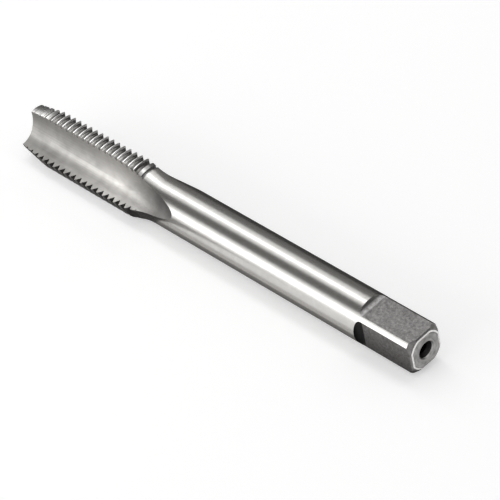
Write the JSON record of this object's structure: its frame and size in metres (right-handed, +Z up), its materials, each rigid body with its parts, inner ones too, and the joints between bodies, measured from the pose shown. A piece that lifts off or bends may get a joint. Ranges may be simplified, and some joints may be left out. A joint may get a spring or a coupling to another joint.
{
  "type": "thread tap",
  "caption": "Straight-flute hand tap that cuts an internal screw thread: tapered fluted thread, slimmer round shank, square drive end with a centre hole.",
  "frame": {"origin": "on the surface that the tap lies on, under the middle of its length", "axes": "+X along the tap's axis towards the square drive end, +Z up, one land of the thread on top"},
  "size_m": [0.068, 0.0078, 0.0071],
  "materials": {
    "tool_steel": "ground high-speed steel, bright on the shank and satin in the flutes"
  },
  "bodies": {
    "root": {"thread_tap": "tool_steel"}
  },
  "joints": []
}
